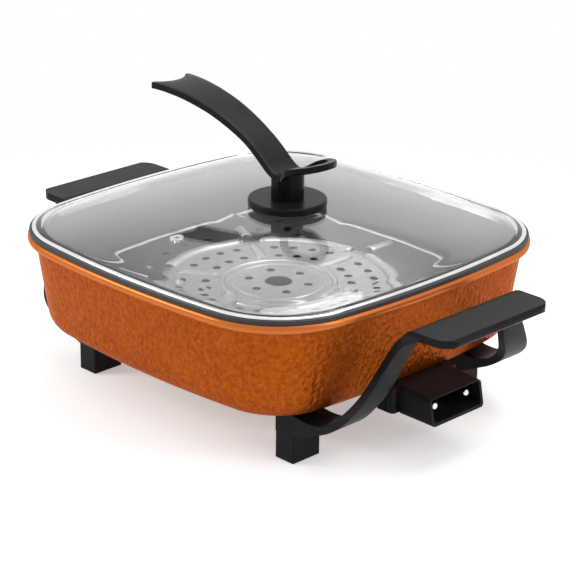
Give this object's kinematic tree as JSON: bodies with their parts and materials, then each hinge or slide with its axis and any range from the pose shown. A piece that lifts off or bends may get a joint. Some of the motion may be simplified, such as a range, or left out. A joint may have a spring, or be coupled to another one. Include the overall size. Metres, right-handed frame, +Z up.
{
  "type": "electric skillet",
  "caption": "Square electric skillet with a lift-off domed glass lid, a perforated steaming rack, side handles that run down to block feet, and a thermostat socket on one side.",
  "frame": {"origin": "on the floor plane under the centre of the pan, which is also the centre of the bounding box's base", "axes": "+X towards the socket and its handle, -Y to the front, +Z up"},
  "size_m": [0.434, 0.3166, 0.2117],
  "materials": {
    "pan": "hammered copper-orange enamel outside, grey non-stick inside",
    "element": "heat-dulled steel",
    "pins": "nickel plated",
    "ceramic": "unglazed ceramic",
    "bakelite": "satin black phenolic",
    "screws": "zinc plated",
    "rim": "polished stainless steel",
    "rack": "satin stainless steel",
    "glass": "clear tempered glass",
    "silicone": "black silicone",
    "brass": "turned brass"
  },
  "bodies": {
    "base": {"pan_body": "pan", "heating_element": "element", "terminal_pins": "pins", "pin_insulators": "ceramic", "probe_tube": "element", "terminal_block": "bakelite", "socket_housing": "bakelite", "socket_screws": "screws", "handle_right": "bakelite", "handle_left": "bakelite", "foot_front_right": "bakelite", "foot_back_right": "bakelite", "foot_front_left": "bakelite", "foot_back_left": "bakelite", "foot_screws": "screws"},
    "rack": {"steam_rack": "rack"},
    "lid": {"lid_glass": "glass", "lid_rim": "rim", "lid_gasket": "silicone", "vent_eyelet": "rim", "knob_disc": "bakelite", "disc_seal": "silicone", "lid_handle": "bakelite", "post_insert": "brass", "lid_washer": "screws", "lid_screw": "screws"}
  },
  "joints": [
    {"name": "lid_lift", "type": "slide", "parent": "base", "child": "lid", "axis": [0, 0, 1], "range_m": [0, 0.2]},
    {"name": "rack_lift", "type": "slide", "parent": "base", "child": "rack", "axis": [0, 0, 1], "range_m": [0, 0.11]}
  ],
  "couplings": [
    {"joint": "rack_lift", "follows": "lid_lift", "ratio": 0.55}
  ]
}
